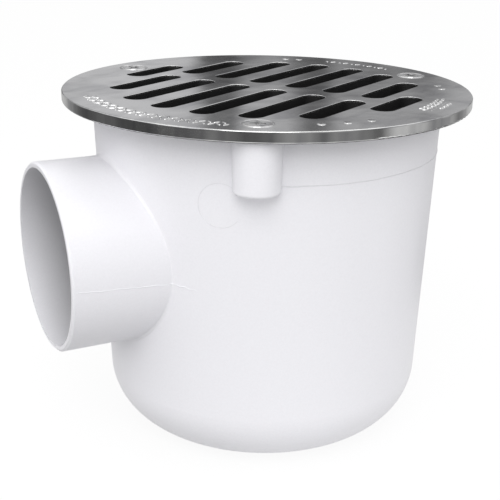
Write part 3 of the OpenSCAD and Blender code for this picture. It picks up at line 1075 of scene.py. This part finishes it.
@dataclass
class Studio:
    """A pale floor without an edge, soft lamps, and a plain white surround."""

    ambient: float = 0.91
    overhead: float = 1.3
    zenith: float = 0.55
    low_step: tuple[float, float] = (0.215, 0.165)
    sky_step: tuple[float, float] = (0.45, 0.72)
    zenith_step: tuple[float, float] = (0.86, 0.96)
    panel_tint: float = 1.02
    floor_size: float = 20.0
    floor_glow: float = 0.88
    floor_share: float = 0.12
    floor_left: float = 0.19
    floor_right: float = 0.33
    floor_lift: float = 1.05
    floor_change: tuple[float, float] = (-0.13, -0.02)
    floor_near: float = 0.85
    floor_far: tuple[float, float] = (0.2, 0.34)
    panel_start: float = 14.0
    panel_lap: float = 26.0
    panels: tuple[tuple[float, float], ...] = (
        (14.0, 0.5), (19.0, 0.56), (23.3, 0.52), (24.1, 0.15), (25.4, 0.16), (26.2, 0.5), (28.6, 0.46),
        (29.9, 0.14), (30.9, 0.15), (31.8, 0.38), (34.0, 0.42), (37.0, 0.4), (40.0, 0.5),
    )
    low_panels: tuple[tuple[float, float], ...] = (
        (14.0, 0.48), (19.0, 0.55), (22.8, 0.5), (23.8, 0.1), (25.4, 0.09), (26.4, 0.22), (27.8, 0.3),
        (29.2, 0.13), (30.6, 0.09), (31.6, 0.24), (33.4, 0.15), (35.0, 0.2), (36.6, 0.17), (38.2, 0.34),
        (40.0, 0.48),
    )
    floor_cards: tuple[tuple[float, float], ...] = (
        (-180.0, 0.17), (-168.0, 0.31), (-157.0, 0.17), (-143.0, 0.07), (-128.0, 0.2), (-114.0, 0.14),
        (-101.0, 0.12), (-89.0, 0.07), (-74.0, 0.1), (-61.0, 0.12), (-49.0, 0.09), (-35.0, 0.12),
        (-22.0, 0.34), (-8.0, 0.5), (20.0, 0.5), (61.0, 0.55), (73.0, 0.4), (85.0, 0.2), (97.0, 0.42),
        (110.0, 0.33), (123.0, 0.52), (139.0, 0.55), (149.0, 0.1), (163.0, 0.27), (172.0, 0.26), (180.0, 0.17),
    )
    lamps: tuple[Lamp, ...] = (
        Lamp("key", (-0.6, -0.95, 1.15), 0.9, 8.0),
        Lamp("top", (-0.9, -0.3, 1.4), 0.8, 0.8),
        Lamp("mouth", (-1.15, -0.38, 0.3), 0.5, 1.1),
    )

    def build(self) -> None:
        """Builds the surround, the floor and the lamps."""
        self._surround()
        self._floor()
        for lamp in self.lamps:
            lamp.build()
        bpy.context.scene.view_settings.view_transform = "Standard"
        LOG.info("studio: %d lamps", len(self.lamps))

    def _surround(self) -> None:
        """Builds the world: white to the camera, and a studio of pale walls to reflections.

        Reflections see white high up, a calmer grey straight above, and walls that change between pale
        and dark by direction.
        """
        world = bpy.data.worlds.new("surround")
        world.use_nodes = True
        bpy.context.scene.world = world
        tree = Tree(world.node_tree)
        x, y, z = tree.node("SeparateXYZ", {0: tree.node("TexCoord").outputs["Generated"]}).outputs
        rays = tree.node("LightPath").outputs
        share = self._lap(tree, tree.math("ARCTAN2", x, y))
        high, low = (self._stripes(tree, share, panels) for panels in (self.panels, self.low_panels))
        walls = tree.mix(tree.step(z, *self.low_step), high, low)
        sky = tree.mix(tree.step(z, *self.zenith_step), grey(self.overhead), grey(self.zenith))
        seen = tree.mix(tree.step(z, *self.sky_step), walls, sky)
        mirror = tree.math("MAXIMUM", rays["Is Glossy Ray"], rays["Is Transmission Ray"])
        light = tree.mix(mirror, grey(self.ambient), seen)
        colour = tree.mix(rays["Is Camera Ray"], light, grey(1.0))
        tree.join(colour, tree.tree.nodes["Background"].inputs["Color"])

    def _lap(self, tree: Tree, bearing: Socket) -> Socket:
        """Place of a bearing within its lap of panels.

        Args:
            tree: The node tree under way.
            bearing: The bearing in radians.

        Returns:
            The place, from 0 to 1.
        """
        start, lap = math.radians(self.panel_start), math.radians(self.panel_lap)
        wrapped = tree.math("WRAP", bearing, start + lap, start)
        return tree.math("DIVIDE", tree.math("SUBTRACT", wrapped, start), lap)

    def _stripes(self, tree: Tree, share: Socket, panels: Sequence[tuple[float, float]]) -> Socket:
        """Colour at a place within a lap, from panels given as bearings in degrees and grey levels."""
        return tree.ramp(share, *[((turn - self.panel_start) / self.panel_lap,
                                   (level, level, level * self.panel_tint)) for turn, level in panels])

    def _floor(self) -> None:
        """Builds the floor, a square about the part."""
        half = 0.5 * self.floor_size
        mesh = bpy.data.meshes.new("floor")
        corners = [(x * half, y * half, 0.0) for x, y in ((-1, -1), (1, -1), (1, 1), (-1, 1))]
        mesh.from_pydata(corners, [], [(0, 1, 2, 3)])
        mesh.materials.append(self._floor_finish())
        placed("floor", mesh)

    def _floor_finish(self) -> bpy.types.Material:
        """Builds the floor's material.

        The camera sees it white apart from a soft shadow, and reflections see it pale near the part and as a
        ring of cards further out. To other light it is a dim grey that also glows, paler on the right than on
        the left, so it lights the part from below.

        Returns:
            The material.
        """
        sheet = Sheet("floor")
        x, y, _ = sheet.node("SeparateXYZ", {0: sheet.place}).outputs
        grain = sheet.ramp(sheet.noise(40.0, detail=3.0), (0.3, grey(0.95)), (0.7, grey(1.0)))
        pale = sheet.mix(sheet.step(x, *self.floor_change), grey(self.floor_left), grey(self.floor_right))
        tone = sheet.mix(1.0, pale, grain, "MULTIPLY")
        sheet.feed("Base Color", tone)
        sheet.feed("Emission Color", tone)
        sheet.feed("Emission Strength", self.floor_lift)
        sheet.feed("Roughness", 0.9)
        sheet.feed("Specular IOR Level", 0.0)
        rays = sheet.node("LightPath").outputs
        radius = sheet.node("VectorMath", {0: sheet.place}, operation="LENGTH").outputs["Value"]
        share = sheet.math("MULTIPLY_ADD", sheet.math("ARCTAN2", x, y), 0.5 / math.pi, 0.5)
        cards = sheet.ramp(share, *[(0.5 + turn / 360.0, grey(level)) for turn, level in self.floor_cards])
        level = sheet.mix(sheet.step(radius, *self.floor_far), grey(self.floor_near), cards)
        mirrored = sheet.node("Emission", {"Color": level})
        matt = sheet.node("BsdfDiffuse", {"Color": grey(self.floor_share)})
        glow = sheet.node("Emission", {"Color": grey(self.floor_glow)})
        shown = sheet.node("AddShader", {0: matt.outputs[0], 1: glow.outputs[0]})
        lit = sheet.node("MixShader", {0: rays["Is Glossy Ray"], 1: sheet.shader.outputs[0],
                                       2: mirrored.outputs[0]})
        whole = sheet.node("MixShader", {0: rays["Is Camera Ray"], 1: lit.outputs[0], 2: shown.outputs[0]})
        sheet.join(whole.outputs[0], sheet.tree.nodes["Material Output"].inputs["Surface"])
        return sheet.material


@dataclass(frozen=True)
class Camera:
    """Where the camera stands and how it looks at the part. Its distance and height are in metres."""

    azimuth: float = -27.46
    distance: float = 0.5941
    height: float = 0.3198
    pitch: float = 21.19
    yaw: float = 0.68
    roll: float = 1.33
    focal: float = 70.48
    sensor: float = 36.0
    shift: tuple[float, float] = (-0.05, 0.05)

    def build(self) -> None:
        """Makes the camera and sets it as the scene's."""
        turn = math.radians(self.azimuth)
        pitch, yaw, roll = (math.radians(a) for a in (self.pitch, self.yaw, self.roll))
        side = Vector((math.cos(turn), math.sin(turn), 0.0))
        ahead = Vector((-math.sin(turn), math.cos(turn), 0.0))
        up = Vector((0.0, 0.0, 1.0))
        forward = (math.sin(yaw) * side + math.cos(yaw) * ahead) * math.cos(pitch) - math.sin(pitch) * up
        right = forward.cross(up).normalized()
        top = right.cross(forward)
        rolled_right = math.cos(roll) * right + math.sin(roll) * top
        rolled_top = math.cos(roll) * top - math.sin(roll) * right
        data = bpy.data.cameras.new("camera")
        data.sensor_width, data.lens = self.sensor, self.focal
        data.shift_x, data.shift_y = self.shift
        data.clip_start, data.clip_end = 0.01, 50.0
        camera = placed("camera", data)
        stand = Matrix((rolled_right, rolled_top, -forward)).transposed().to_4x4()
        stand.translation = -ahead * self.distance + up * self.height
        camera.matrix_world = stand
        bpy.context.scene.camera = camera


def main() -> None:
    """Builds the part from the pot up, then the studio and the camera."""
    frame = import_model()
    nodes = frame["nodes"]
    Camera().build()
    Pot().build(nodes)
    Hood().build(nodes)
    Fastenings().build(nodes)
    Grate().build(nodes)
    Studio().build()


if __name__ == "__main__":
    logging.basicConfig(level=logging.INFO, format="%(message)s")
    main()
